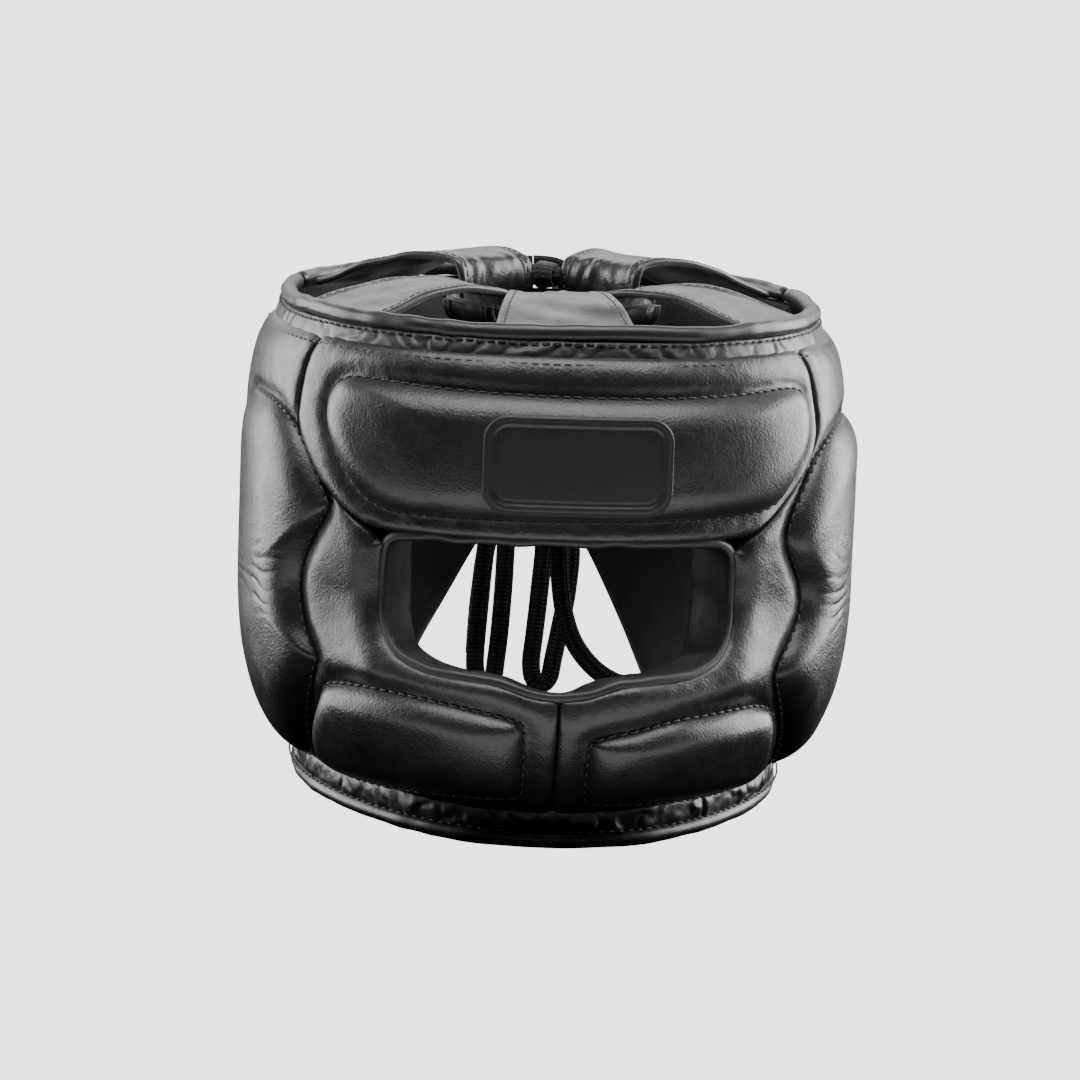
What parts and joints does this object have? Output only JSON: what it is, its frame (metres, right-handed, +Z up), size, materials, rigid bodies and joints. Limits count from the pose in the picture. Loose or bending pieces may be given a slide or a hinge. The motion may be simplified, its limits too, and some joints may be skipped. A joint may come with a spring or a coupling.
{
  "type": "boxing headgear",
  "caption": "Full-face padded boxing headgear in black leather, with a wide eye opening, a padded face bar, laced crown tabs and laced rear flaps.",
  "frame": {"origin": "centre of the footprint on the surface that the headgear stands on, measured without the free laces", "axes": "+Z up, the face looks along -Y, +X to the wearer's left"},
  "size_m": [0.2414, 0.2879, 0.1998],
  "materials": {
    "cowhide_black": "semi-gloss black cowhide, drum dyed and plated, fine grain",
    "patch_leather": "smooth matt black leather patch, left blank",
    "suede_lining": "matt black brushed lining",
    "foam": "dense closed-cell foam, hidden",
    "lace_cotton": "flat woven black cotton lace",
    "plate_plastic": "stiff moulded plate, hidden",
    "tip_plastic": "clear-over-black plastic lace tip",
    "tape_nylon": "woven nylon touch-fastener tape"
  },
  "bodies": {
    "shell": {"forehead_cover": "cowhide_black", "forehead_foam": "foam", "forehead_lining": "suede_lining", "forehead_raised_pad": "cowhide_black", "forehead_patch": "patch_leather", "left_side_cover": "cowhide_black", "left_side_foam": "foam", "left_side_lining": "suede_lining", "left_cheek_pad": "cowhide_black", "left_ear_bridge": "cowhide_black", "right_side_cover": "cowhide_black", "right_side_foam": "foam", "right_side_lining": "suede_lining", "right_cheek_pad": "cowhide_black", "right_ear_bridge": "cowhide_black", "left_bar_cover": "cowhide_black", "right_bar_cover": "cowhide_black", "left_bar_pad": "cowhide_black", "right_bar_pad": "cowhide_black", "bar_outer_foam": "foam", "bar_plate": "plate_plastic", "bar_inner_foam": "foam", "bar_lining": "suede_lining", "eye_binding": "cowhide_black", "crown_gusset": "cowhide_black", "crown_piping": "cowhide_black", "chin_gusset": "cowhide_black", "chin_piping": "cowhide_black", "front_crown_tab": "cowhide_black", "left_side_crown_tab": "cowhide_black", "right_side_crown_tab": "cowhide_black", "left_rear_crown_tab": "cowhide_black", "right_rear_crown_tab": "cowhide_black", "crown_lace": "lace_cotton", "crown_knot": "lace_cotton", "bow_knot": "lace_cotton", "left_bow_loop": "lace_cotton", "right_bow_loop": "lace_cotton", "left_bow_tail": "lace_cotton", "right_bow_tail": "lace_cotton", "left_lace_tip": "tip_plastic", "right_lace_tip": "tip_plastic", "strap_anchor": "cowhide_black"},
    "left_flap": {"left_flap_cover": "cowhide_black", "left_flap_foam": "foam", "left_flap_lining": "suede_lining", "left_flap_piping": "cowhide_black", "left_lace_loops": "cowhide_black", "left_rear_lace": "lace_cotton"},
    "right_flap": {"right_flap_cover": "cowhide_black", "right_flap_foam": "foam", "right_flap_lining": "suede_lining", "right_flap_piping": "cowhide_black", "right_lace_loops": "cowhide_black", "right_rear_lace": "lace_cotton"},
    "chin_strap": {"chin_strap": "cowhide_black", "hook_tape": "tape_nylon"},
    "short_strap": {"short_strap": "cowhide_black", "loop_tape": "tape_nylon"}
  },
  "joints": [
    {"name": "left_flap_hinge", "type": "hinge", "parent": "shell", "child": "left_flap", "pos_m": [0.11112, 0.05088, 0.09], "axis": [0, 0, -1], "range_deg": [0, 14], "deforming": ["left_rear_lace"]},
    {"name": "right_flap_hinge", "type": "hinge", "parent": "shell", "child": "right_flap", "pos_m": [-0.11112, 0.05088, 0.09], "axis": [0, 0, -1], "range_deg": [-14, 0], "deforming": ["right_rear_lace"]},
    {"name": "chin_strap_swing", "type": "hinge", "parent": "shell", "child": "chin_strap", "pos_m": [0.062, -0.0149, 0.0379], "axis": [0, 1, 0], "range_deg": [0, 75]},
    {"name": "short_strap_swing", "type": "hinge", "parent": "shell", "child": "short_strap", "pos_m": [-0.062, -0.0149, 0.0331], "axis": [0, 1, 0], "range_deg": [-75, 0]}
  ],
  "couplings": [
    {"joint": "right_flap_hinge", "follows": "left_flap_hinge", "ratio": -1},
    {"joint": "short_strap_swing", "follows": "chin_strap_swing", "ratio": -1}
  ]
}
